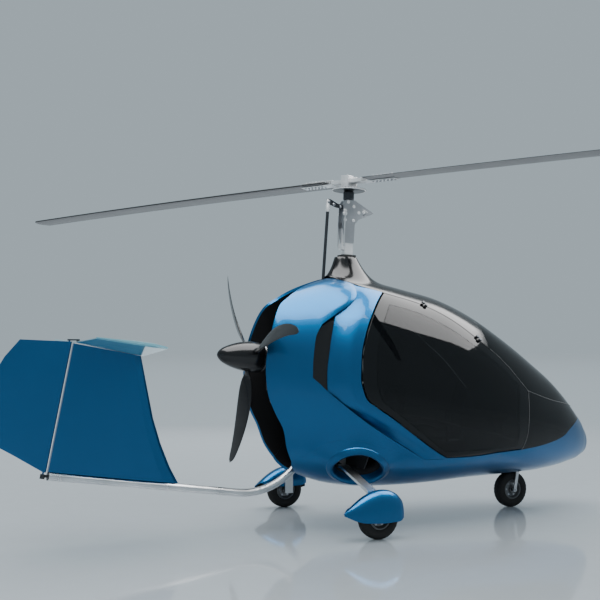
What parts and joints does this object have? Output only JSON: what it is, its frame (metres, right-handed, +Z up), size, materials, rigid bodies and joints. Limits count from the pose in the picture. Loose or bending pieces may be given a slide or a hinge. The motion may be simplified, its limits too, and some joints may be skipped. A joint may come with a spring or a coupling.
{
  "type": "gyrocopter",
  "caption": "Enclosed two-seat gyrocopter with a teetering rotor, pusher propeller, tail boom, hinged doors and a steered nose wheel.",
  "frame": {"origin": "on the ground under the middle of the main wheels, which is the centre of the object's base", "axes": "+X forward, +Y to the left, +Z up"},
  "size_m": [5.16, 7.7328, 2.7269],
  "materials": {
    "blue_paint": "metallic blue gloss",
    "pale_blue_paint": "light blue gloss",
    "black_gloss": "black gloss",
    "tinted_glass": "dark tinted",
    "dark_trim": "satin black",
    "seat_cover": "dark woven",
    "bare_metal": "brushed",
    "dark_metal": "dark anodised",
    "frame_steel": "welded tube",
    "blade_metal": "satin",
    "white_metal": "satin",
    "engine_metal": "cast",
    "prop_black": "carbon black gloss",
    "wheel_metal": "machined",
    "tyre_rubber": "black",
    "rubber": "black"
  },
  "bodies": {
    "airframe": {"nose_cap": "blue_paint", "lower_hull": "blue_paint", "roof_strip": "black_gloss", "windscreen": "tinted_glass", "nose_window": "tinted_glass", "rear_cowl_left": "blue_paint", "rear_cowl_right": "blue_paint", "side_pillar_left": "blue_paint", "side_pillar_right": "blue_paint", "roof_hinges": "bare_metal", "keel": "frame_steel", "cabin_floor": "dark_trim", "bulkhead": "dark_trim", "seats": "seat_cover", "instrument_panel": "dark_trim", "control_stick": "dark_trim", "mast": "white_metal", "mast_collar": "rubber", "rotor_head": "frame_steel", "bearing_housing": "dark_metal", "control_strut": "dark_metal", "tail_boom": "bare_metal", "fin": "blue_paint", "stabiliser": "pale_blue_paint", "rudder_hinges": "dark_metal", "main_leg": "dark_metal", "wheel_pants": "blue_paint", "engine": "engine_metal", "engine_mount": "frame_steel", "gearbox": "engine_metal"},
    "rotor": {"rotor_tower": "white_metal"},
    "rotor_teeter": {"hub_bar": "white_metal", "rotor_blade_rear": "blade_metal", "rotor_blade_front": "blade_metal"},
    "propeller": {"spinner": "prop_black", "prop_blades": "prop_black"},
    "nose_fork": {"nose_fork": "frame_steel"},
    "nose_wheel": {"nose_rim": "wheel_metal", "nose_tyre": "tyre_rubber"},
    "wheel_left": {"main_rim_left": "wheel_metal", "main_tyre_left": "tyre_rubber"},
    "wheel_right": {"main_rim_right": "wheel_metal", "main_tyre_right": "tyre_rubber"},
    "rudder": {"rudder": "blue_paint"},
    "door_left": {"door_left": "black_gloss", "door_pane_left": "tinted_glass", "door_hinges_left": "bare_metal"},
    "door_right": {"door_right": "black_gloss", "door_pane_right": "tinted_glass", "door_hinges_right": "bare_metal"}
  },
  "joints": [
    {"name": "rotor_spin", "type": "hinge", "parent": "airframe", "child": "rotor", "pos_m": [0.2, 0, 2.68], "axis": [0.0384, 0, 0.9993], "continuous": true},
    {"name": "rotor_teeter", "type": "hinge", "parent": "rotor", "child": "rotor_teeter", "pos_m": [0.2, 0, 2.68], "axis": [-0.91, -0.4131, 0.035], "range_deg": [-6, 6]},
    {"name": "propeller_spin", "type": "hinge", "parent": "airframe", "child": "propeller", "pos_m": [-0.652, 0, 1.295], "axis": [-0.9978, 0, 0.0663], "continuous": true},
    {"name": "nose_steering", "type": "hinge", "parent": "airframe", "child": "nose_fork", "pos_m": [1.8, 0, 0.1525], "axis": [0, 0, 1], "range_deg": [-25, 25]},
    {"name": "nose_wheel_roll", "type": "hinge", "parent": "nose_fork", "child": "nose_wheel", "pos_m": [1.767, 0, 0.1525], "axis": [0, 1, 0], "continuous": true},
    {"name": "wheel_left_roll", "type": "hinge", "parent": "airframe", "child": "wheel_left", "pos_m": [0, 0.813, 0.1525], "axis": [0, 1, 0], "continuous": true},
    {"name": "wheel_right_roll", "type": "hinge", "parent": "airframe", "child": "wheel_right", "pos_m": [0, -0.813, 0.1525], "axis": [0, 1, 0], "continuous": true},
    {"name": "rudder_hinge", "type": "hinge", "parent": "airframe", "child": "rudder", "pos_m": [-2.194, 0, 0.494], "axis": [0.1951, 0, 0.9808], "range_deg": [-28, 28]},
    {"name": "door_left_hinge", "type": "hinge", "parent": "airframe", "child": "door_left", "pos_m": [0.71236, 0.30587, 1.70992], "axis": [0.8387, 0.1966, -0.5078], "range_deg": [0, 75]},
    {"name": "door_right_hinge", "type": "hinge", "parent": "airframe", "child": "door_right", "pos_m": [0.71236, -0.30587, 1.70992], "axis": [-0.8387, 0.1966, 0.5078], "range_deg": [0, 75]}
  ]
}
